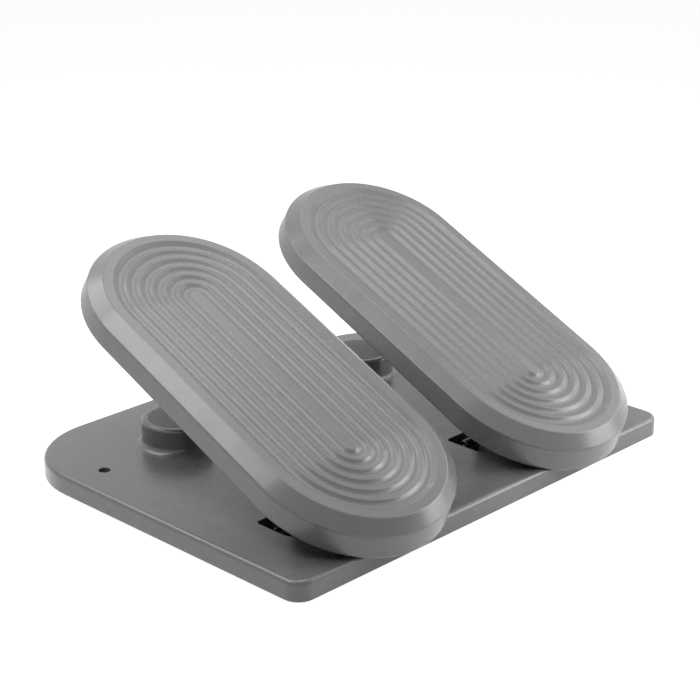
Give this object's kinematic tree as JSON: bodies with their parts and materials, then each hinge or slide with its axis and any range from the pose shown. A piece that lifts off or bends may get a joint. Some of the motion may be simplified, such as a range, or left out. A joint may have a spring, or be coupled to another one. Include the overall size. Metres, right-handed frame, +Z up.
{
  "type": "footrest",
  "caption": "Under-desk footrest: flat rounded base with two fluted stadium-shaped pedals, each hinged near the heel on a sprung steel pin over a round stop boss.",
  "frame": {"origin": "middle of the underside of the whole object, on the floor plane that the rubber feet stand on", "axes": "+X to the user's right, +Y from the heels toward the toes, +Z up"},
  "size_m": [0.35, 0.2902, 0.1493],
  "materials": {
    "grey_plastic": "satin moulded",
    "dark_plastic": "matt moulded",
    "black_rubber": "matt",
    "grey_rubber": "matt",
    "steel": "browned and oiled",
    "spring_steel": "drawn wire",
    "zinc_steel": "zinc plated",
    "bronze": "sintered"
  },
  "bodies": {
    "base": {"base_top_shell": "grey_plastic", "base_bottom_cover": "dark_plastic", "rubber_foot_front_left": "black_rubber", "rubber_foot_front_right": "black_rubber", "rubber_foot_middle_left": "black_rubber", "rubber_foot_middle_right": "black_rubber", "rubber_foot_back_left": "black_rubber", "rubber_foot_back_right": "black_rubber", "base_screw_1": "zinc_steel", "base_screw_2": "zinc_steel", "base_screw_3": "zinc_steel", "base_screw_4": "zinc_steel", "base_screw_5": "zinc_steel", "base_screw_6": "zinc_steel", "base_screw_7": "zinc_steel", "base_screw_8": "zinc_steel", "stop_pad_left": "grey_rubber", "stop_pad_right": "grey_rubber", "hinge_pin_left": "steel", "hinge_pin_right": "steel", "retaining_ring_left_left": "zinc_steel", "retaining_ring_left_right": "zinc_steel", "retaining_ring_right_left": "zinc_steel", "retaining_ring_right_right": "zinc_steel", "torsion_spring_left": "spring_steel", "torsion_spring_right": "spring_steel"},
    "left_pedal": {"pedal_top_shell_left": "grey_plastic", "pedal_lower_shell_left": "grey_plastic", "hinge_bush_left_left": "bronze", "hinge_bush_left_right": "bronze", "pedal_screw_left_1": "zinc_steel", "pedal_screw_left_2": "zinc_steel", "pedal_screw_left_3": "zinc_steel", "pedal_screw_left_4": "zinc_steel", "pedal_screw_left_5": "zinc_steel", "pedal_screw_left_6": "zinc_steel"},
    "right_pedal": {"pedal_top_shell_right": "grey_plastic", "pedal_lower_shell_right": "grey_plastic", "hinge_bush_right_left": "bronze", "hinge_bush_right_right": "bronze", "pedal_screw_right_1": "zinc_steel", "pedal_screw_right_2": "zinc_steel", "pedal_screw_right_3": "zinc_steel", "pedal_screw_right_4": "zinc_steel", "pedal_screw_right_5": "zinc_steel", "pedal_screw_right_6": "zinc_steel"}
  },
  "joints": [
    {"name": "left_pedal_hinge", "type": "hinge", "parent": "base", "child": "left_pedal", "pos_m": [-0.08695, -0.05981, 0.0116], "axis": [-1, 0, 0], "range_deg": [0, 28.5], "stiffness_Nm_per_rad": 1.6, "springref_deg": -20.05, "deforming": ["torsion_spring_left"]},
    {"name": "right_pedal_hinge", "type": "hinge", "parent": "base", "child": "right_pedal", "pos_m": [0.08695, -0.05981, 0.0116], "axis": [-1, 0, 0], "range_deg": [0, 28.5], "stiffness_Nm_per_rad": 1.6, "springref_deg": -20.05, "deforming": ["torsion_spring_right"]}
  ]
}
